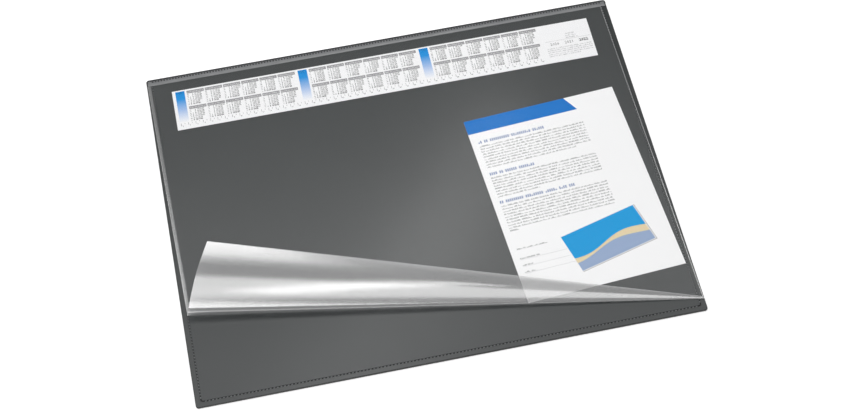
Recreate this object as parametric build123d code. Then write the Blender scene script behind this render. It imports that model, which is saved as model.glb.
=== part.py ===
from build123d import *
import os
from math import cos, degrees, radians, sin, sqrt, tan

os.makedirs("parts", exist_ok=True)

# A desk writing pad: a padded sheet with a clear overlay hinged along its back edge, under which
# loose papers are kept. The overlay's front left corner is turned back in a long tapering curl.
# X runs along the pad's width, Y towards the hinged back edge and Z up. The origin is the middle
# of the underside. All sizes are in millimetres.

# The pad in plan
pad_width = 650.0
pad_depth = 520.0
corner_radius = 4.0

# Its layers, from the desk up
backing_thickness = 0.7
core_thickness = 1.0
foam_thickness = 0.8
skin_thickness = 0.5
backing_chamfer = 0.3

# The welded seam round the left, front and right sides, and the rim outside it
seam_inset = 7.5
seam_radius = 0.9
seam_sink = 0.1
seam_corner_radius = 3.0
rim_drop = 0.4
rim_round = 1.0
shoulder_round = 0.3
filling_inset = 10.5
filling_corner_radius = 3.0

# The dark strip welded on along the back edge, and its row of teeth
strip_depth = 6.0
strip_thickness = 0.5
bead_depth = 2.6
bead_height = 1.0
bead_round = 0.45
tooth_pitch = 4.0
tooth_width = 2.0
tooth_depth = 2.2
tooth_margin = 7.0
tooth_clearance = 0.1

# The overlay's clear hem, which the teeth go through, with the rounded band that it bends from
hem_thickness = 0.4
hem_end_inset = 2.0
band_depth = 4.6
band_height = 1.1
band_front_height = 0.45
band_crown = 2.5
strip_clearance = 0.2

# The overlay. Laid flat and straight it would stop this far inside the pad's edges, but the
# turned-back corner has drawn it a little askew.
film_thickness = 0.25
film_left_inset = 1.5
film_right_inset = 8.7
film_front_inset = 7.3
film_skew = 0.85
film_clearance = 0.1
hinge_clearance = 0.3

# The curl at its front left corner. Its creases fan out from a point just beyond the front right
# corner, on the line of the front edge. Sizes are measured along the film's left edge: a tight
# roll, then a wide bend over the top, and the rest runs straight to the front edge.
curl_apex_offset = 20.0
curl_angle = 11.66
roll_radius = 9.0
roll_length = 23.7
crown_radius = 78.0
crown_length = 65.0

# How many steps from crease to crease the two bends are worked out in
roll_steps = 10
crown_steps = 6

# The papers under the overlay, whose insets run from the paper's middle to the pad's edge
paper_thickness = 0.2
paper_clearance = 0.05
calendar_width = 584.0
calendar_depth = 67.5
calendar_offset = -0.5
calendar_back_inset = 60.3
leaflet_width = 210.0
leaflet_height = 297.0
leaflet_right_inset = 123.6
leaflet_front_inset = 213.1
leaflet_angle = 3.9

# Levels and lines that follow from these
filling_base = backing_thickness
filling_top = filling_base + core_thickness + foam_thickness
pad_top = filling_top + skin_thickness
rim_top = pad_top - rim_drop
pad_side = pad_width / 2
pad_back = pad_depth / 2
pad_front = -pad_depth / 2
strip_front = pad_back - strip_depth
strip_top = pad_top + strip_thickness
hem_top = strip_top + hem_thickness
band_back = strip_front - strip_clearance
band_front = band_back - band_depth
paper_base = pad_top + paper_clearance
film_base = paper_base + paper_thickness + film_clearance
film_top = film_base + film_thickness
hinge_line = band_front - hinge_clearance
film_left = -pad_side + film_left_inset
film_right = pad_side - film_right_inset
film_front = pad_front + film_front_inset
tooth_line = pad_back - bead_depth - (strip_depth - bead_depth) / 2


def plate(width, depth, radius, base, top):
    """A flat sheet with rounded corners between two levels."""
    outline = RectangleRounded(width, depth, radius)
    return Pos(0, 0, base) * extrude(outline, top - base)


def backing_sheet():
    """Non-slip sheet that lies on the desk, as large as the pad."""
    sheet = plate(pad_width, pad_depth, corner_radius, 0, backing_thickness)
    foot_edges = sheet.faces().sort_by(Axis.Z)[0].edges()
    return chamfer(foot_edges, backing_chamfer)


def filling_sheet(base, thickness):
    """One layer of the filling, which stops short of the seam."""
    width = pad_width - 2 * filling_inset
    depth = pad_depth - 2 * filling_inset
    return plate(width, depth, filling_corner_radius, base, base + thickness)


def seam_groove():
    """The round-bottomed groove pressed by the welding tool, open at the back under the strip."""
    half_width = pad_side - seam_inset
    front = pad_front + seam_inset
    corners = [
        (-half_width, tooth_line),
        (-half_width, front),
        (half_width, front),
        (half_width, tooth_line),
    ]
    level = rim_top + seam_sink
    line = FilletPolyline(*[(x, y, level) for x, y in corners], radius=seam_corner_radius)
    start = Plane(origin=line @ 0, z_dir=line % 0)
    return sweep(start * Circle(seam_radius), path=line)


def top_skin():
    """Padded top skin: a rim down to the backing, and a raised field inside the seam."""
    rim = plate(pad_width, pad_depth, corner_radius, backing_thickness, rim_top)
    rim = fillet(rim.faces().sort_by(Axis.Z)[-1].edges(), rim_round)
    field_width = pad_width - 2 * seam_inset
    field_depth = pad_depth - seam_inset
    field_outline = RectangleRounded(field_width, field_depth, seam_corner_radius)
    field = Pos(0, seam_inset / 2, filling_top - rim_drop) * extrude(
        field_outline, pad_top - filling_top + rim_drop
    )
    field = fillet(field.faces().sort_by(Axis.Z)[-1].edges(), shoulder_round)
    pocket = filling_sheet(filling_base, filling_top - filling_base)
    return rim + field - pocket - seam_groove()


def tooth_positions():
    """Places of the weld teeth, an even row centred on the strip."""
    count = int((pad_width - 2 * tooth_margin) / tooth_pitch)
    first = -(count - 1) / 2 * tooth_pitch
    return [(first + number * tooth_pitch, tooth_line) for number in range(count)]


def tooth_outlines(width, depth):
    """The row of rectangles that the teeth, or the slots round them, are made on."""
    return [Pos(x, y) * Rectangle(width, depth) for x, y in tooth_positions()]


def back_bar(depth, top):
    """A bar on the pad's back edge, whose outer corners follow the pad's."""
    outline = RectangleRounded(pad_width, pad_depth, corner_radius)
    bar = Pos(0, pad_back - depth / 2) * Rectangle(pad_width, depth)
    return Pos(0, 0, pad_top) * extrude(outline & bar, top - pad_top)


def hinge_strip():
    """Dark strip along the back: a thin flange with weld teeth, and a bead at the pad's edge."""
    strip = back_bar(strip_depth, strip_top)
    bead = back_bar(bead_depth, pad_top + bead_height)
    bead = fillet(bead.faces().sort_by(Axis.Z)[-1].edges(), bead_round)
    tooth_height = hem_top - strip_top
    row = [
        extrude(Pos(0, 0, strip_top) * outline, tooth_height)
        for outline in tooth_outlines(tooth_width, tooth_depth)
    ]
    return strip + bead + row


def overlay_hem():
    """Clear hem of the overlay, slotted for the teeth, with the rounded band at its front."""
    width = pad_width - 2 * hem_end_inset
    hem_back = pad_back - bead_depth - strip_clearance
    flange_depth = hem_back - band_back
    outline = Pos(0, band_back + flange_depth / 2) * Rectangle(width, flange_depth)
    slots = tooth_outlines(tooth_width + 2 * tooth_clearance, tooth_depth + 2 * tooth_clearance)
    slot_wires = [slot.wire() for slot in slots]
    flange = extrude(Pos(0, 0, strip_top) * Face(outline.wire(), slot_wires), hem_thickness)
    crown = (band_back - band_crown, pad_top + band_height)
    with BuildSketch(Plane.YZ) as profile:
        with BuildLine():
            Polyline(
                (band_back, hem_top),
                (band_back, pad_top),
                (band_front, pad_top),
                (band_front, pad_top + band_front_height),
            )
            ThreePointArc((band_front, pad_top + band_front_height), crown, (band_back, hem_top))
        make_face()
    band = Pos(-width / 2, 0, 0) * extrude(profile.sketch, width)
    return band + flange


def curl_stretches():
    """The curl's creases, from the flat film round to the front edge, in its three stretches.

    Each crease comes with its angle in the flat film, its direction and the film's normal there.
    A sheet that curls about creases through one point is a cone. Where the bend has one radius it
    is part of a round cone, so its creases follow each other by a turn about that cone's axis.
    """
    reach = film_right + curl_apex_offset - film_left
    angle = radians(curl_angle)
    crease = Vector(-cos(angle), sin(angle), 0)
    normal = Vector(0, 0, 1)
    straight_length = angle * reach - roll_length - crown_length
    bends = [
        (reach / roll_radius, roll_length, roll_steps),
        (reach / crown_radius, crown_length, crown_steps),
        (0, straight_length, 1),
    ]
    stretches = []
    for bend, length, steps in bends:
        axis = Axis((0, 0, 0), normal + crease * bend)
        span = length / reach
        turn = degrees(span) * sqrt(1 + bend * bend)
        creases = []
        for step in range(steps + 1):
            share = step / steps
            directions = [line.rotate(axis, turn * share) for line in (crease, normal)]
            creases.append((angle - span * share, *directions))
        stretches.append(creases)
        angle, crease, normal = creases[-1]
    return stretches


def curl_edge(creases, run, depth):
    """The film's edge over one stretch, at a distance from the point where the creases meet."""
    apex = Vector(film_right + curl_apex_offset, film_front, film_top)
    points = []
    headings = []
    for angle, crease, normal in creases:
        points.append(apex + crease * (run / cos(angle)) - normal * depth)
        headings.append(normal.cross(crease) * cos(angle) - crease * sin(angle))
    if len(points) == 2:
        return Edge.make_line(*points)
    return Edge.make_spline(points, tangents=[headings[0], headings[-1]])


def side_edges(x, depth):
    """The film's side edge on one of its two faces: the flat stretch, then those of the curl."""
    run = film_right + curl_apex_offset - x
    curl = [curl_edge(creases, run, depth) for creases in curl_stretches()]
    hinge_slope = tan(radians(film_skew))
    corner = Vector(x, hinge_line - x * hinge_slope, film_top - depth)
    return [Edge.make_line(corner, curl[0] @ 0), *curl]


def overlay_film():
    """Clear overlay: flat from the hinge to the first crease, then curled up and over."""
    left_top = side_edges(film_left, 0)
    left_bottom = side_edges(film_left, film_thickness)
    right_top = side_edges(film_right, 0)
    right_bottom = side_edges(film_right, film_thickness)
    walls = [
        (left_top, right_top),
        (left_bottom, right_bottom),
        (left_top, left_bottom),
        (right_top, right_bottom),
    ]
    faces = [
        Face.make_surface_from_curves(first, second)
        for wall in walls
        for first, second in zip(*wall)
    ]
    around = (left_top, left_bottom, right_bottom, right_top)
    hinge_end = Polyline(*[edges[0] @ 0 for edges in around], close=True)
    free_end = Polyline(*[edges[-1] @ 1 for edges in around], close=True)
    faces += [make_face(hinge_end).face(), make_face(free_end).face()]
    hinge = Axis((0, hinge_line, 0), (0, 0, 1))
    return Solid(Shell(faces)).rotate(hinge, film_skew)


def paper(width, height, centre, angle):
    """A loose sheet lying on the pad."""
    sheet = Pos(centre[0], centre[1], paper_base) * Rot(0, 0, angle) * Rectangle(width, height)
    return extrude(sheet, paper_thickness)


def calendar_strip():
    """Card strip with a three-year calendar, along the back of the pad."""
    centre = (calendar_offset, pad_back - calendar_back_inset)
    return paper(calendar_width, calendar_depth, centre, 0)


def insert_leaflet():
    """Printed sheet slipped under the overlay at the right."""
    centre = (pad_side - leaflet_right_inset, pad_front + leaflet_front_inset)
    return paper(leaflet_width, leaflet_height, centre, leaflet_angle)


pieces = {
    "backing_sheet": backing_sheet(),
    "core_board": filling_sheet(filling_base, core_thickness),
    "foam_layer": filling_sheet(filling_base + core_thickness, foam_thickness),
    "top_skin": top_skin(),
    "hinge_strip": hinge_strip(),
    "overlay_hem": overlay_hem(),
    "overlay_film": overlay_film(),
    "calendar_strip": calendar_strip(),
    "insert_leaflet": insert_leaflet(),
}
for name, solid in pieces.items():
    export_step(solid, f"parts/{name}.step")
    print(name, round(solid.volume, 1), "mm3, valid", solid.is_valid)
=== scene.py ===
import calendar
from math import cos, pi, radians, sin, sqrt, tan
from random import Random

import bpy
from mathutils import Matrix, Quaternion, Vector


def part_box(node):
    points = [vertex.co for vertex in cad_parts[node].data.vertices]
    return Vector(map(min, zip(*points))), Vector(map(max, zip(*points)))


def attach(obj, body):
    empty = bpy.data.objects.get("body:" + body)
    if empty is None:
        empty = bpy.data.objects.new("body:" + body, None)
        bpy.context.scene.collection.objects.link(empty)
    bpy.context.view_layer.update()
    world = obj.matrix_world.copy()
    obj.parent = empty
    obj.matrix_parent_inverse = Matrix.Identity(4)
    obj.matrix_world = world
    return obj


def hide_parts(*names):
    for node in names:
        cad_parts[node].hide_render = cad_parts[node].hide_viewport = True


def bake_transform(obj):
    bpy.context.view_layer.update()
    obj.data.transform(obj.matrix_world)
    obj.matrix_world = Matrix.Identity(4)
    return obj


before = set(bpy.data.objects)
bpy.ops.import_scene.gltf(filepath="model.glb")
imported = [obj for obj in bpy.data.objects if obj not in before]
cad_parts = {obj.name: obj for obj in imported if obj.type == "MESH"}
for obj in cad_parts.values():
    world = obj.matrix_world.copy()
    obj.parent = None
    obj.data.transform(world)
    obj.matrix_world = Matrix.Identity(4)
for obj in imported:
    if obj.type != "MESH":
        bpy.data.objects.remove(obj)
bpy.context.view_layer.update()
mm = 0.001


# The backing is a sheet of foamed vinyl as large as the pad, laminated under it so that it
# doesn't slip on the desk. It shows only as the pad's lowest edge, and from below.
def new_finish(name, colour, roughness):
    """A material with its node tree and its shader."""
    made = bpy.data.materials.new(name)
    made.use_nodes = True
    shader = made.node_tree.nodes["Principled BSDF"]
    shader.inputs["Base Color"].default_value = (*colour, 1)
    shader.inputs["Roughness"].default_value = roughness
    return made, made.node_tree, shader


def add_node(tree, kind, inputs=(), **settings):
    """A node with its settings, and its inputs set to values or linked to other nodes' outputs."""
    made = tree.nodes.new(kind)
    for name, value in settings.items():
        setattr(made, name, value)
    for key, value in dict(inputs).items():
        if isinstance(value, bpy.types.NodeSocket):
            tree.links.new(value, made.inputs[key])
        else:
            made.inputs[key].default_value = value
    return made


def noise_over(tree, waves, detail=4.0):
    """Noise of so many waves a metre over the piece, as an output from 0 to 1."""
    place = add_node(tree, "ShaderNodeTexCoord")
    made = add_node(tree, "ShaderNodeTexNoise", {
        "Vector": place.outputs["Object"], "Scale": waves, "Detail": detail,
    })
    return made.outputs["Fac"]


def cells_over(tree, waves):
    """Small rounded cells over the piece, as their distance from the nearest edge."""
    place = add_node(tree, "ShaderNodeTexCoord")
    made = add_node(tree, "ShaderNodeTexVoronoi", {
        "Vector": place.outputs["Object"], "Scale": waves,
    }, feature="DISTANCE_TO_EDGE")
    return made.outputs["Distance"]


def add_relief(tree, shader, height, depth, strength=1.0):
    """Relief of a depth in metres on a finish. A second call adds to the first."""
    bump = add_node(tree, "ShaderNodeBump", {
        "Height": height, "Distance": depth, "Strength": strength,
    })
    normal = shader.inputs["Normal"]
    if normal.links:
        tree.links.new(normal.links[0].from_socket, bump.inputs["Normal"])
    tree.links.new(bump.outputs["Normal"], normal)


def add_mottle(tree, shader, share, low, high):
    """Colour that drifts between two tones as the share goes from 0 to 1."""
    tones = add_node(tree, "ShaderNodeMix", {
        "Factor": share, "A": (*low, 1), "B": (*high, 1),
    }, data_type="RGBA")
    tree.links.new(tones.outputs["Result"], shader.inputs["Base Color"])


def dress(node, finish):
    """Gives a CAD piece its finish."""
    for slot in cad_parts[node].material_slots:
        slot.material = finish


foamed_vinyl, tree, shader = new_finish("foamed_vinyl", (0.03, 0.03, 0.03), 0.8)
add_mottle(tree, shader, noise_over(tree, 60), (0.024, 0.024, 0.025), (0.036, 0.036, 0.037))
add_relief(tree, shader, cells_over(tree, 900), 0.0002)
dress("backing_sheet", foamed_vinyl)


# The filling is a stiff grey board with a thin sheet of closed-cell foam on it. Both are cut
# short of the seam and sealed in by it, so neither shows.
grey_board, tree, shader = new_finish("grey_board", (0.3, 0.28, 0.25), 0.9)
add_mottle(tree, shader, noise_over(tree, 350), (0.24, 0.22, 0.19), (0.36, 0.33, 0.3))
add_relief(tree, shader, noise_over(tree, 900), 0.0001)
dress("core_board", grey_board)

padding_foam, tree, shader = new_finish("padding_foam", (0.05, 0.05, 0.05), 0.95)
add_mottle(tree, shader, noise_over(tree, 200), (0.04, 0.04, 0.04), (0.07, 0.07, 0.07))
add_relief(tree, shader, cells_over(tree, 1500), 0.0002)
dress("foam_layer", padding_foam)


# The top skin is soft matt vinyl, embossed with a fine leather grain. The welding tool has
# pressed its rim flat, which leaves the rim smoother; its slightly lighter tone is painted
# sheen. The skin's cut side gets a much darker tone, painted shade for the pad's dark edge line.
seam_inset = 7.5 * mm
rim_fade = 1 * mm
cut_side_top = 2.8 * mm
cut_side_fade = 0.6 * mm
skin_low, skin_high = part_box("top_skin")
seam_side = skin_high.x - seam_inset
seam_front = skin_low.y + seam_inset


def outside_seam(tree, fade):
    """How far a place lies outside the seam, from 0 to 1 over a fade in metres."""
    place = add_node(tree, "ShaderNodeTexCoord")
    split = add_node(tree, "ShaderNodeSeparateXYZ", {"Vector": place.outputs["Object"]})
    aside = add_node(tree, "ShaderNodeMath", {0: split.outputs["X"]}, operation="ABSOLUTE")
    beside = add_node(tree, "ShaderNodeMath", {0: aside.outputs[0], 1: seam_side},
                      operation="SUBTRACT")
    before = add_node(tree, "ShaderNodeMath", {0: seam_front, 1: split.outputs["Y"]},
                      operation="SUBTRACT")
    nearest = add_node(tree, "ShaderNodeMath", {0: beside.outputs[0], 1: before.outputs[0]},
                       operation="MAXIMUM")
    share = add_node(tree, "ShaderNodeMapRange", {
        "Value": nearest.outputs[0], "From Min": 0.0, "From Max": fade,
    })
    return share.outputs["Result"]


soft_vinyl, tree, shader = new_finish("soft_vinyl", (0.045, 0.05, 0.051), 0.3)
shader.inputs["IOR"].default_value = 1.6
field_tone = add_node(tree, "ShaderNodeMix", {
    "Factor": noise_over(tree, 7, 3.0), "A": (0.026, 0.03, 0.031, 1), "B": (0.035, 0.04, 0.041, 1),
}, data_type="RGBA")
# The lighter tone outside the seam is painted sheen on the pressed rim.
tone_with_rim_sheen = add_node(tree, "ShaderNodeMix", {
    "Factor": outside_seam(tree, rim_fade), "A": field_tone.outputs["Result"],
    "B": (0.036, 0.041, 0.042, 1),
}, data_type="RGBA")
place = add_node(tree, "ShaderNodeTexCoord")
split = add_node(tree, "ShaderNodeSeparateXYZ", {"Vector": place.outputs["Object"]})
# Below the top of the cut side the tone turns nearly black: painted shade on the pad's edge.
above_side = add_node(tree, "ShaderNodeMapRange", {
    "Value": split.outputs["Z"], "From Min": cut_side_top - cut_side_fade, "From Max": cut_side_top,
})
tone_with_side_shade = add_node(tree, "ShaderNodeMix", {
    "Factor": above_side.outputs["Result"], "A": (0.006, 0.007, 0.007, 1),
    "B": tone_with_rim_sheen.outputs["Result"],
}, data_type="RGBA")
tree.links.new(tone_with_side_shade.outputs["Result"], shader.inputs["Base Color"])
skin_roughness = add_node(tree, "ShaderNodeMapRange", {
    "Value": outside_seam(tree, rim_fade), "To Min": 0.31, "To Max": 0.28,
})
tree.links.new(skin_roughness.outputs["Result"], shader.inputs["Roughness"])
add_relief(tree, shader, cells_over(tree, 1100), 0.00006, 0.7)
add_relief(tree, shader, noise_over(tree, 240), 0.00008, 0.5)
dress("top_skin", soft_vinyl)


# The seam is welded by a tool that also presses a row of mock stitches into its groove: slanted
# beads, close together, so that the line looks like a row of thread. Their pale grey tone is a
# painted highlight, for the light that the beads' ridges catch.
def deselect_all():
    bpy.ops.object.select_all(action="DESELECT")


def pick(*pieces):
    """Makes these pieces the only selected ones and the first of them active."""
    deselect_all()
    for piece in pieces:
        piece.select_set(True)
    bpy.context.view_layer.objects.active = pieces[0]


def settle(piece):
    """Puts a piece's place, turn and scale into its mesh."""
    pick(piece)
    bpy.ops.object.transform_apply(location=True, rotation=True, scale=True)


def joined(pieces, name):
    """Several pieces made one mesh, with its object at the origin."""
    pick(*pieces)
    bpy.ops.object.join()
    whole = bpy.context.object
    whole.name = name
    settle(whole)
    return whole


def copied(piece, place, turn=0.0):
    """A copy with a mesh of its own, at a place and turned about Z."""
    made = piece.copy()
    made.data = piece.data.copy()
    made.location = place
    made.rotation_euler = (0, 0, turn)
    bpy.context.collection.objects.link(made)
    return made


stitch_length = 2.8 * mm
stitch_width = 1.5 * mm
stitch_height = 1.15 * mm
stitch_pitch = 4.5 * mm
stitch_slant = radians(11)
groove_floor = 1.8 * mm
strip_front = 254 * mm
corner_gap = 3.5 * mm

deselect_all()
bpy.ops.mesh.primitive_uv_sphere_add(segments=10, ring_count=6, radius=0.5)
stitch = bpy.context.object
stitch.scale = (stitch_length, stitch_width, stitch_height)
settle(stitch)
bpy.ops.object.shade_smooth()


def stitch_row(start, end):
    """Stitches evenly along a straight stretch of the seam."""
    stretch = end - start
    count = round(stretch.length / stitch_pitch)
    heading = stretch.xy.angle_signed(Vector((1, 0)))
    return [
        copied(stitch, start + stretch * ((number + 0.5) / count), heading + stitch_slant)
        for number in range(count)
    ]


stitch_level = groove_floor + stitch_height / 2
left_back = Vector((-seam_side, strip_front, stitch_level))
left_front = Vector((-seam_side, seam_front, stitch_level))
right_front = Vector((seam_side, seam_front, stitch_level))
right_back = Vector((seam_side, strip_front, stitch_level))
gap_y = Vector((0, corner_gap, 0))
gap_x = Vector((corner_gap, 0, 0))
stitches = stitch_row(left_back, left_front + gap_y)
stitches += stitch_row(left_front + gap_x, right_front - gap_x)
stitches += stitch_row(right_front + gap_y, right_back)
bpy.data.objects.remove(stitch)
seam_stitches = joined(stitches, "seam_stitches")

# The stitches' pale grey is a painted highlight on the dark vinyl beads.
stitch_glint_vinyl, tree, shader = new_finish("stitch_glint_vinyl", (0.18, 0.19, 0.2), 0.34)
add_mottle(tree, shader, noise_over(tree, 160), (0.15, 0.16, 0.165), (0.22, 0.23, 0.235))
add_relief(tree, shader, noise_over(tree, 2500), 0.00004)
seam_stitches.data.materials.append(stitch_glint_vinyl)
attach(seam_stitches, "pad")


# The hinge strip is stiffer dark vinyl, welded along the back edge. Its teeth stand in the slots
# of the overlay's hem and hold it, and the bead behind them covers the cut edges.
satin_vinyl, tree, shader = new_finish("satin_vinyl", (0.02, 0.021, 0.023), 0.38)
add_mottle(tree, shader, noise_over(tree, 40), (0.016, 0.017, 0.018), (0.028, 0.029, 0.031))
add_relief(tree, shader, noise_over(tree, 900), 0.00005)
dress("hinge_strip", satin_vinyl)


# The hem is the overlay's thick back edge of clear vinyl, with the teeth welded through it and a
# rounded glossy band in front, from which the film bends. Its light grey tone is painted sheen,
# the light that the rounded band reflects.
# The light grey of the hem is painted sheen, not the vinyl's own colour.
hem_sheen_vinyl, tree, shader = new_finish("hem_sheen_vinyl", (0.2, 0.205, 0.21), 0.18)
add_mottle(tree, shader, noise_over(tree, 25), (0.14, 0.145, 0.15), (0.22, 0.225, 0.23))
add_relief(tree, shader, noise_over(tree, 420, 2.0), 0.00005)
shader.inputs["IOR"].default_value = 1.55
dress("overlay_hem", hem_sheen_vinyl)


# The overlay is one sheet of clear soft film, welded to the hem along the back. Its front left
# corner is turned back, so the film curls round creases that fan out from beyond the other
# corner. Where it curls, a milky white is painted on it as sheen; its cut edges and its left
# margin get painted highlights.
film_thickness = 0.25 * mm
film_left = -323.5 * mm
film_right = 316.3 * mm
film_front = -252.7 * mm
film_base = 3.35 * mm
film_skew = radians(0.85)
film_tuck = 0.9 * mm
apex_offset = 20 * mm
curl_angle = radians(11.66)
roll_radius = 9.2 * mm
roll_length = 25.5 * mm
crown_radius = 105 * mm
crown_length = 65 * mm
flap_radius = 300 * mm
roll_rows = 36
crown_rows = 24
flap_rows = 12
flat_rows = 20
film_columns = 64
film_border = 0.4 * mm
clear_opacity = 0.014
curl_sheen_opacity = 0.34
edge_glint_opacity = 0.5
cut_edge_width = 0.9 * mm
cut_edge_core = 0.3 * mm
margin_glint_opacity = 0.2
margin_width = 5.5 * mm
margin_core = 2.5 * mm
hinge_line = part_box("overlay_film")[1].y


def curl_creases():
    """Creases from the flat film to the front edge: angle in the film, direction, normal, turn."""
    reach = film_right + apex_offset - film_left
    angle = curl_angle
    crease = Vector((-cos(angle), sin(angle), 0))
    normal = Vector((0, 0, 1))
    flap_length = angle * reach - roll_length - crown_length
    bends = [
        (reach / roll_radius, roll_length, roll_rows),
        (reach / crown_radius, crown_length, crown_rows),
        (reach / flap_radius, flap_length, flap_rows),
    ]
    turned = 0.0
    found = [(angle, crease, normal, turned)]
    for bend, length, rows in bends:
        span = length / reach
        step = Quaternion(normal + crease * bend, span / rows * sqrt(1 + bend * bend))
        for row in range(rows):
            crease = step @ crease
            normal = step @ normal
            angle -= span / rows
            turned += span / rows * bend
            found.append((angle, crease, normal, turned))
    return found


deselect_all()
curl_rows = roll_rows + crown_rows + flap_rows
film_rows = curl_rows + flat_rows
bpy.ops.mesh.primitive_grid_add(x_subdivisions=film_columns, y_subdivisions=film_rows, size=1)
overlay = bpy.context.object
overlay.name = "clear_overlay"
creases = curl_creases()
apex = Vector((film_right + apex_offset, film_front, film_base + film_thickness / 2))
hinge_middle = Vector((0, hinge_line, 0))
skew = Matrix.Translation(hinge_middle) @ Matrix.Rotation(film_skew, 4, "Z")
skew = skew @ Matrix.Translation(-hinge_middle)
turn_share = overlay.data.attributes.new("turned", "FLOAT", "POINT")
laid_flat = overlay.data.attributes.new("laid_flat", "FLOAT_VECTOR", "POINT")
for number, vertex in enumerate(overlay.data.vertices):
    across = vertex.co.x + 0.5
    column = round(across * film_columns)
    x = film_left + across * (film_right - film_left)
    if column == 1:
        x = film_left + film_border
    elif column == film_columns - 1:
        x = film_right - film_border
    row = round((vertex.co.y + 0.5) * film_rows)
    run = apex.x - x
    angle, crease, normal, turned = creases[max(curl_rows - row, 0)]
    vertex.co = apex + crease * (run / cos(angle))
    flat_y = film_front + run * tan(angle)
    if row > curl_rows:
        share = (row - curl_rows) / flat_rows
        hinge_y = hinge_line - x * tan(film_skew) + film_tuck
        vertex.co.y += share * (hinge_y - vertex.co.y)
        flat_y = vertex.co.y
    vertex.co = skew @ vertex.co
    turn_share.data[number].value = turned / radians(180)
    laid_flat.data[number].vector = (x - film_left, flat_y - film_front, film_right - x)
bpy.ops.object.shade_smooth()
face_count = len(overlay.data.polygons)
wall = overlay.modifiers.new("film", "SOLIDIFY")
wall.thickness = film_thickness
wall.offset = 0
bpy.ops.object.modifier_apply(modifier=wall.name)
# The cut edge is shaded by itself. Shaded with the film, it would tilt the film's own reflections.
for rim_face in overlay.data.polygons[2 * face_count:]:
    rim_face.use_smooth = False
    for corner in rim_face.loop_indices:
        overlay.data.edges[overlay.data.loops[corner].edge_index].use_edge_sharp = True

clear_film, tree, shader = new_finish("clear_film", (0.8, 0.805, 0.81), 0.2)
shader.inputs["IOR"].default_value = 3.5
shader.inputs["Specular IOR Level"].default_value = 1.0
turned = add_node(tree, "ShaderNodeAttribute", attribute_name="turned")
# The white base shows more where the film is turned: painted sheen on the curl.
curl_sheen = add_node(tree, "ShaderNodeMapRange", {
    "Value": turned.outputs["Fac"], "From Min": 0.2, "From Max": 0.34,
    "To Min": clear_opacity, "To Max": curl_sheen_opacity,
}, interpolation_type="SMOOTHSTEP")
flat_place = add_node(tree, "ShaderNodeAttribute", attribute_name="laid_flat")
flat_split = add_node(tree, "ShaderNodeSeparateXYZ", {"Vector": flat_place.outputs["Vector"]})
beside = add_node(tree, "ShaderNodeMath", {
    0: flat_split.outputs["X"], 1: flat_split.outputs["Z"],
}, operation="MINIMUM")
nearest = add_node(tree, "ShaderNodeMath", {
    0: beside.outputs[0], 1: flat_split.outputs["Y"],
}, operation="MINIMUM")
# Near the cut edges the white shows strongly: a painted highlight along the edges.
cut_edge = add_node(tree, "ShaderNodeMapRange", {
    "Value": nearest.outputs[0], "From Min": cut_edge_core, "From Max": cut_edge_width,
    "To Min": edge_glint_opacity, "To Max": 0.0,
})
# Along the left margin the white shows a little: a painted highlight for the film's bent edge.
left_margin_glint = add_node(tree, "ShaderNodeMapRange", {
    "Value": flat_split.outputs["X"], "From Min": margin_core, "From Max": margin_width,
    "To Min": margin_glint_opacity, "To Max": 0.0,
}, interpolation_type="SMOOTHSTEP")
painted_sheen = add_node(tree, "ShaderNodeMath", {
    0: curl_sheen.outputs["Result"], 1: left_margin_glint.outputs["Result"],
}, operation="MAXIMUM")
opacity = add_node(tree, "ShaderNodeMath", {
    0: painted_sheen.outputs[0], 1: cut_edge.outputs["Result"],
}, operation="MAXIMUM")
tree.links.new(opacity.outputs[0], shader.inputs["Alpha"])
add_relief(tree, shader, noise_over(tree, 12, 2.0), 0.0006, 0.4)
overlay.data.materials.append(clear_film)
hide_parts("overlay_film")
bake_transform(overlay)


# The calendar strip is smooth white card, printed in grey, black and blue and cut to size. It
# holds three years of two rows of months each, with a centimetre ruler along its front edge.
coated_card, tree, shader = new_finish("coated_card", (0.86, 0.86, 0.87), 0.32)
add_mottle(tree, shader, noise_over(tree, 90), (0.85, 0.85, 0.86), (0.88, 0.88, 0.89))
add_relief(tree, shader, noise_over(tree, 3000), 0.00001)
dress("calendar_strip", coated_card)

grey_ink = new_finish("grey_ink", (0.28, 0.28, 0.29), 0.5)[0]
dark_ink = new_finish("dark_ink", (0.02, 0.02, 0.022), 0.5)[0]
white_ink = new_finish("white_ink", (0.85, 0.85, 0.85), 0.4)[0]
ink_thickness = 0.012 * mm
digit_share = 0.69
print_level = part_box("calendar_strip")[1].z
card_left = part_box("calendar_strip")[0].x
card_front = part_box("calendar_strip")[0].y
draw = Random(5)


def inked(low, high, ink, columns=1, rows=1, layer=0):
    """A printed rectangle between two corners, on the paper or on layers of ink below it."""
    deselect_all()
    bpy.ops.mesh.primitive_grid_add(x_subdivisions=columns, y_subdivisions=rows, size=1)
    made = bpy.context.object
    made.scale = (high[0] - low[0], high[1] - low[1], 1)
    made.location = ((low[0] + high[0]) / 2, (low[1] + high[1]) / 2,
                     print_level + layer * ink_thickness)
    settle(made)
    made.data.materials.append(ink)
    return made


def thicken(piece):
    """Gives a flat print the thickness of its ink, upwards."""
    pick(piece)
    wall = piece.modifiers.new("ink", "SOLIDIFY")
    wall.thickness = ink_thickness
    wall.offset = 1
    bpy.ops.object.modifier_apply(modifier=wall.name)


def numeral(text, height, weight=0.0):
    """A number centred on the origin, as tall as given, and bolder with more weight."""
    deselect_all()
    bpy.ops.object.text_add()
    made = bpy.context.object
    made.data.body = text
    made.data.size = height / digit_share
    made.data.offset = weight * height
    made.data.align_x = "CENTER"
    made.data.align_y = "CENTER"
    made.data.resolution_u = 1
    bpy.ops.object.convert(target="MESH")
    return made


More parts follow.
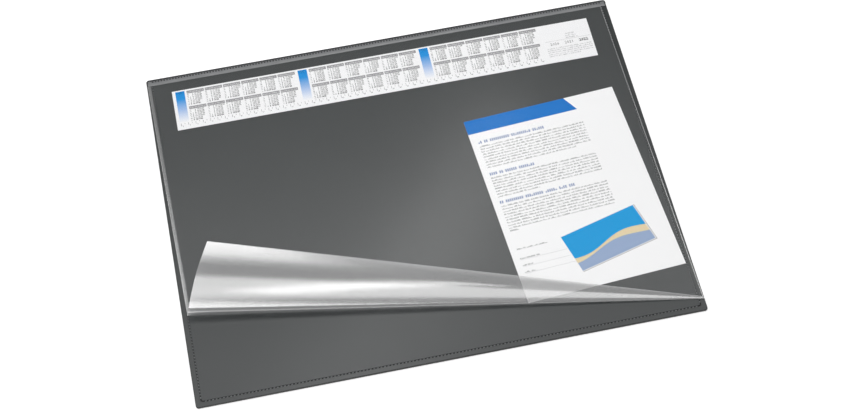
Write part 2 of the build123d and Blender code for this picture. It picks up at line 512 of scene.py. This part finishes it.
def mock_text(left, top, width, lines, pitch, ink, last=0.6, letter_pitch=1.45 * mm, layer=0,
              tall=0.5):
    """Lines of mock text: strokes for letters, in words of uneven length, that say nothing."""
    letters = round(width / letter_pitch)
    block = inked((left, top - lines * pitch), (left + width, top), ink,
                  2 * letters, 4 * lines, layer)
    kept = set()
    for line in range(lines):
        length = round(letters * last) if line == lines - 1 else letters
        letter = 0
        while letter < length:
            word = draw.randint(2, 10)
            for place in range(letter, min(letter + word, length)):
                kept.add((2 * place, 4 * (lines - 1 - line) + 1))
                if draw.random() < tall:
                    kept.add((2 * place, 4 * (lines - 1 - line) + 2))
            letter += word + 1
    for number, face in enumerate(block.data.polygons):
        row, column = divmod(number, 2 * letters)
        face.select = (column, row) not in kept
    bpy.context.tool_settings.mesh_select_mode = (False, False, True)
    bpy.ops.object.mode_set(mode="EDIT")
    bpy.ops.mesh.delete(type="FACE")
    bpy.ops.object.mode_set(mode="OBJECT")
    return block


bar_width = 12.7 * mm
bar_height = 53.7 * mm
bar_inset = 4.3 * mm
bar_front = 11.7 * mm
year_pitch = 170 * mm
months_inset = 15.5 * mm
month_pitch = 25.3 * mm
month_width = 23.8 * mm
head_height = 4.9 * mm
row_pitch = 27.4 * mm
day_pitch = 2.86 * mm
week_pitch = 3.5 * mm
day_height = 2.1 * mm
day_weight = 0.035
rest_weight = 0.08
first_year = 2020
year_height = 2.6 * mm
year_drop = 3 * mm
months_drop = 0.6 * mm
head_margin = 1 * mm
head_drop = 1.2 * mm
head_line = 2.6 * mm
head_letter = 0.9 * mm
weekday_inset = 0.2 * mm
weekday_drop = 0.3 * mm
weekday_width = 2.4 * mm
weekday_letter = 1.2 * mm
weeks_lead = 1.25
days_lead = 0.6
day_numbers = [numeral(str(day), day_height, day_weight) for day in range(1, 32)]
rest_numbers = [numeral(str(day), day_height, rest_weight) for day in range(1, 32)]
day_level = print_level + ink_thickness

azure_ink, tree, shader = new_finish("azure_ink", (0.02, 0.3, 0.7), 0.35)
shader.inputs["Specular IOR Level"].default_value = 0.0
place = add_node(tree, "ShaderNodeTexCoord")
split = add_node(tree, "ShaderNodeSeparateXYZ", {"Vector": place.outputs["Object"]})
fade = add_node(tree, "ShaderNodeMapRange", {
    "Value": split.outputs["Y"], "From Min": card_front + bar_front,
    "From Max": card_front + bar_front + bar_height,
})
tones = add_node(tree, "ShaderNodeValToRGB", {"Fac": fade.outputs["Result"]})
tones.color_ramp.elements[0].color = (0.86, 0.86, 0.87, 1)
tones.color_ramp.elements[1].color = (0.01, 0.24, 0.62, 1)
tones.color_ramp.elements.new(0.4).color = (0.36, 0.5, 0.76, 1)
tones.color_ramp.elements.new(0.75).color = (0.02, 0.27, 0.66, 1)
tree.links.new(tones.outputs["Color"], shader.inputs["Base Color"])

year_bars, year_numbers, month_heads, head_marks = [], [], [], []
weekday_marks, days, rest_days = [], [], []
for year_number in range(3):
    year_left = card_left + bar_inset + year_number * year_pitch
    year_front = card_front + bar_front
    year_back = year_front + bar_height
    year_bars.append(inked((year_left, year_front), (year_left + bar_width, year_back),
                           azure_ink, 2, 8))
    year_mark = numeral(str(first_year + year_number), year_height)
    year_mark.location = (year_left + bar_width / 2, year_back - year_drop, day_level)
    year_numbers.append(year_mark)
    for month in range(12):
        left = year_left + months_inset + month % 6 * month_pitch
        top = year_back - months_drop - month // 6 * row_pitch
        month_heads.append(inked((left, top - head_height), (left + month_width, top),
                                 grey_ink, 2, 1))
        head_marks.append(mock_text(left + head_margin, top - head_drop,
                                    month_width - 2 * head_margin, 1, head_line,
                                    white_ink, 1.0, head_letter, 1))
        weekday_marks.append(mock_text(left + weekday_inset, top - head_height - weekday_drop,
                                       weekday_width, 7, day_pitch, dark_ink, 1.0, weekday_letter))
        first_weekday, length = calendar.monthrange(first_year + year_number, month + 1)
        for day in range(length):
            week, weekday = divmod(first_weekday + day, 7)
            where = (left + (week + weeks_lead) * week_pitch,
                     top - head_height - (weekday + days_lead) * day_pitch, day_level)
            source = rest_numbers if weekday == 6 else day_numbers
            kept = rest_days if weekday == 6 else days
            kept.append(copied(source[day], where))
for number in day_numbers + rest_numbers:
    bpy.data.objects.remove(number)

calendar_days = joined(days, "calendar_days")
calendar_days.data.materials.append(dark_ink)
calendar_rest_days = joined(rest_days, "calendar_rest_days")
calendar_rest_days.data.materials.append(dark_ink)
calendar_years = joined(year_numbers, "calendar_years")
calendar_years.data.materials.append(white_ink)
calendar_bars = joined(year_bars, "calendar_bars")
calendar_heads = joined(month_heads, "calendar_heads")
calendar_head_marks = joined(head_marks, "calendar_head_marks")
calendar_weekdays = joined(weekday_marks, "calendar_weekdays")
for part in (calendar_bars, calendar_heads, calendar_head_marks, calendar_weekdays):
    thicken(part)

ruler_left = card_left + 5.8 * mm
ruler_top = card_front + 10.8 * mm
tick_length = 4.6 * mm
half_tick_length = 2.2 * mm
tick_width = 0.4 * mm
tick_pitch = 5 * mm
tick_count = 101
mark_height = 1.8 * mm
mark_aside = 2.2 * mm
mark_drop = 5.2 * mm
ticks, ruler_numbers = [], []
for step in range(tick_count):
    length = half_tick_length if step % 2 else tick_length
    x = ruler_left + step * tick_pitch
    ticks.append(inked((x - tick_width / 2, ruler_top - length), (x + tick_width / 2, ruler_top),
                       dark_ink, 1, 2))
    if step % 2 == 0:
        mark = numeral(str(step // 2), mark_height, 0.03)
        mark.location = (x + mark_aside, ruler_top - mark_drop, day_level)
        ruler_numbers.append(mark)
calendar_ruler = joined(ticks, "calendar_ruler")
thicken(calendar_ruler)
calendar_ruler_numbers = joined(ruler_numbers, "calendar_ruler_numbers")
calendar_ruler_numbers.data.materials.append(dark_ink)

block_left = card_left + 518.5 * mm
block_width = 63 * mm
names_left = block_left + 30 * mm
name_line = 3.6 * mm
name_back = card_front + 49 * mm
small_print_back = card_front + 26.4 * mm
small_print_line = 3.3 * mm
small_letter = 0.9 * mm
rule_front = card_front + 37.3 * mm
rule_width = 0.3 * mm
legend = [
    mock_text(names_left, name_back - number * name_line, (13 + 2 * number) * mm, 1, name_line,
              grey_ink, 1.0)
    for number in range(3)
]
legend.append(mock_text(block_left, small_print_back, block_width, 5, small_print_line,
                        grey_ink, 0.7, small_letter))
legend.append(inked((block_left, rule_front), (block_left + block_width, rule_front + rule_width),
                    grey_ink, 8, 1))
calendar_legend = joined(legend, "calendar_legend")
thicken(calendar_legend)
span_left = block_left + 12 * mm
span_pitch = 20.5 * mm
span_middle = card_front + 31.8 * mm
span_height = 4.4 * mm
span_numbers = []
for step, weight in ((0, 0.0), (1, 0.0), (2, 0.05)):
    mark = numeral(str(first_year + step), span_height, weight)
    mark.location = (span_left + span_pitch * step, span_middle, day_level)
    span_numbers.append(mark)
calendar_span = joined(span_numbers, "calendar_span")
calendar_span.data.materials.append(dark_ink)

for part in (calendar_days, calendar_rest_days, calendar_years, calendar_bars, calendar_heads,
             calendar_head_marks, calendar_weekdays, calendar_ruler, calendar_ruler_numbers,
             calendar_legend, calendar_span):
    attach(part, "calendar")


# The leaflet is a printed A4 page on smooth white paper, slipped under the overlay. It has a blue
# band along its top edge, three short texts, lines to fill in and a small picture.
coated_paper, tree, shader = new_finish("coated_paper", (0.88, 0.88, 0.885), 0.34)
add_mottle(tree, shader, noise_over(tree, 60), (0.87, 0.87, 0.875), (0.9, 0.9, 0.905))
add_relief(tree, shader, noise_over(tree, 2500), 0.00001)
dress("insert_leaflet", coated_paper)

sheet_width = 210 * mm
sheet_height = 297 * mm
sheet_angle = radians(3.9)
sheet_low, sheet_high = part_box("insert_leaflet")
sheet_place = Matrix.Translation(((sheet_low.x + sheet_high.x) / 2,
                                  (sheet_low.y + sheet_high.y) / 2, 0))
sheet_place = sheet_place @ Matrix.Rotation(sheet_angle, 4, "Z")
text_left = -95.3 * mm
text_width = 145 * mm
line_pitch = 4.42 * mm
blue_ink, tree, shader = new_finish("blue_ink", (0.012, 0.17, 0.54), 0.5)
shader.inputs["Specular IOR Level"].default_value = 0.0
heading_ink = new_finish("heading_ink", (0.008, 0.09, 0.33), 0.5)[0]
text_ink = new_finish("text_ink", (0.07, 0.07, 0.075), 0.5)[0]
print_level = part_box("insert_leaflet")[1].z
band_height = 22.7 * mm
band_end = 48 * mm
band_slant = 0.55
heading_line = 9 * mm
heading_letter = 2.7 * mm
sheet_band = inked((-sheet_width / 2, sheet_height / 2 - band_height), (band_end, sheet_height / 2),
                   blue_ink, 8, 2)
sheet_band.name = "sheet_band"
for vertex in sheet_band.data.vertices:
    if vertex.co.x > band_end - 1 * mm:
        vertex.co.x += (sheet_height / 2 - band_height - vertex.co.y) * band_slant
headings = [
    mock_text(text_left, back * mm, width * mm, 1, heading_line, heading_ink, 1.0, heading_letter,
              tall=0.9)
    for back, width in ((114.5, 92), (60.5, 62), (13.5, 103))
]
texts = [
    mock_text(text_left, back * mm, text_width, lines, line_pitch, text_ink, last)
    for back, lines, last in ((105, 9, 0.85), (51.5, 8, 0.4), (4.5, 10, 0.08))
]
texts += [
    mock_text(text_left, back * mm, width * mm, 1, line_pitch, text_ink, 1.0)
    for back, width in ((-65, 41), (-80, 26), (-90.5, 14), (-101, 14))
]
fill_in_right = -20 * mm
fill_in_weight = 0.25 * mm
rules = [
    inked((text_left, front * mm), (fill_in_right, front * mm + fill_in_weight), grey_ink, 6, 1)
    for front in (-84.5, -95, -105.5)
]
sheet_headings = joined(headings, "sheet_headings")
sheet_text = joined(texts, "sheet_text")
sheet_rules = joined(rules, "sheet_rules")

picture_width = 107 * mm
picture_height = 58 * mm
picture_edge = 1 * mm
wave_reach = 19 * mm
picture_middle = Vector((22.4 * mm, -83.1 * mm, 0))
picture_turn = radians(11.6)
picture_place = Matrix.Translation(picture_middle) @ Matrix.Rotation(picture_turn, 4, "Z")
azure_paint, tree, shader = new_finish("azure_paint", (0.004, 0.31, 0.67), 0.45)
shader.inputs["Specular IOR Level"].default_value = 0.0
pale_paint = new_finish("pale_paint", (0.26, 0.36, 0.55), 0.3)[0]
sand_paint = new_finish("sand_paint", (0.72, 0.6, 0.36), 0.3)[0]


def wave_field(top, swing, phase, ink, layer):
    """A field of the picture from its lower edge up to a slow wave."""
    field = inked((-picture_width / 2, -picture_height / 2), (picture_width / 2, top),
                  ink, 40, 1, layer)
    for vertex in field.data.vertices:
        if vertex.co.y > -picture_height / 2 + 1 * mm:
            vertex.co.y += swing * sin(vertex.co.x / wave_reach + phase)
    return field


half_picture = Vector((picture_width / 2, picture_height / 2))
edge_gap = Vector((picture_edge, picture_edge))
shade_shift = Vector((0.9 * mm, -0.9 * mm))
sheet_picture = joined([
    inked(-half_picture - edge_gap + shade_shift, half_picture + edge_gap + shade_shift,
          grey_ink, 4, 4),
    inked(-half_picture - edge_gap, half_picture + edge_gap, white_ink, 4, 4, 1),
    inked(-half_picture, half_picture, azure_paint, 4, 4, 2),
    wave_field(-4 * mm, 6 * mm, 0.4, sand_paint, 3),
    wave_field(-11 * mm, 5 * mm, 1.1, pale_paint, 4),
], "sheet_picture")
sheet_picture.data.transform(picture_place)

for part in (sheet_band, sheet_headings, sheet_text, sheet_rules, sheet_picture):
    thicken(part)
    part.data.transform(sheet_place)
    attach(part, "leaflet")


# The studio has a white floor, a soft box over the camera, a wide one overhead, a narrow one close
# above the curl and a low one behind. Seen straight or mirrored, floor and horizon are white.
def seen(tree, share):
    """The share for rays that show the surroundings: seen, mirrored, or seen through something."""
    path = add_node(tree, "ShaderNodeLightPath")
    mirrored = add_node(tree, "ShaderNodeMath", {
        0: path.outputs["Is Camera Ray"], 1: path.outputs["Is Glossy Ray"],
    }, operation="MAXIMUM")
    shown = add_node(tree, "ShaderNodeMath", {
        0: mirrored.outputs[0], 1: path.outputs["Is Transmission Ray"],
    }, operation="MAXIMUM")
    made = add_node(tree, "ShaderNodeMath", {0: shown.outputs[0], 1: share}, operation="MULTIPLY")
    return made.outputs[0]


deselect_all()
bpy.ops.mesh.primitive_plane_add(size=16, location=(0, 0, -0.2 * mm))
floor = bpy.context.object
floor.name = "floor"
floor_white, tree, shader = new_finish("floor_white", (0.85, 0.85, 0.85), 0.9)
shader.inputs["Emission Color"].default_value = (1, 1, 1, 1)
tree.links.new(seen(tree, 0.35), shader.inputs["Emission Strength"])
floor.data.materials.append(floor_white)

world = bpy.data.worlds.new("studio")
bpy.context.scene.world = world
world.use_nodes = True
tree = world.node_tree
heading = add_node(tree, "ShaderNodeTexCoord")
split = add_node(tree, "ShaderNodeSeparateXYZ", {"Vector": heading.outputs["Generated"]})
horizon = add_node(tree, "ShaderNodeMapRange", {
    "Value": split.outputs["Z"], "From Min": 0.1, "From Max": 0.3, "To Min": 1.0, "To Max": 0.2,
})
strength = add_node(tree, "ShaderNodeMapRange", {
    "Value": seen(tree, 1.0), "To Min": 0.6, "To Max": horizon.outputs["Result"],
})
background = tree.nodes["Background"]
background.inputs["Color"].default_value = (1, 1, 1, 1)
tree.links.new(strength.outputs["Result"], background.inputs["Strength"])


def soft_light(name, place, width, height, brightness, upright=(0, 0, 1)):
    """A soft box of an even brightness that faces the pad, with its height the upright way."""
    lamp = bpy.data.lights.new(name, "AREA")
    lamp.shape = "RECTANGLE"
    lamp.size = width
    lamp.size_y = height
    lamp.energy = brightness * pi * width * height
    back = (Vector(place) - Vector((0, -0.05, 0))).normalized()
    side = Vector(upright).cross(back).normalized()
    turn = Matrix((side, back.cross(side), back)).transposed()
    box = bpy.data.objects.new(name, lamp)
    box.matrix_world = Matrix.Translation(place) @ turn.to_4x4()
    box.visible_camera = False
    bpy.context.collection.objects.link(box)


soft_light("front_light", (-0.9, -0.6, 2.8), 1.8, 1.0, 2.4)
soft_light("top_light", (0.1, 0.85, 2.85), 3.0, 1.9, 1.3)
soft_light("strip_light", (0.01, 0.27, 0.7), 0.11, 0.75, 2.0, (0.6, 0.55, -0.43))
soft_light("back_light", (-0.8, 2.85, 0.75), 2.6, 1.3, 2.2)

camera = bpy.data.objects.new("camera", bpy.data.cameras.new("camera"))
camera.location = (-0.2077, -1.4251, 2.0782)
camera.rotation_euler = (radians(34.252), radians(1.766), radians(-11.507))
camera.data.lens = 80.9
camera.data.sensor_width = 36
bpy.context.collection.objects.link(camera)
bpy.context.scene.camera = camera
bpy.context.scene.view_settings.view_transform = "Standard"
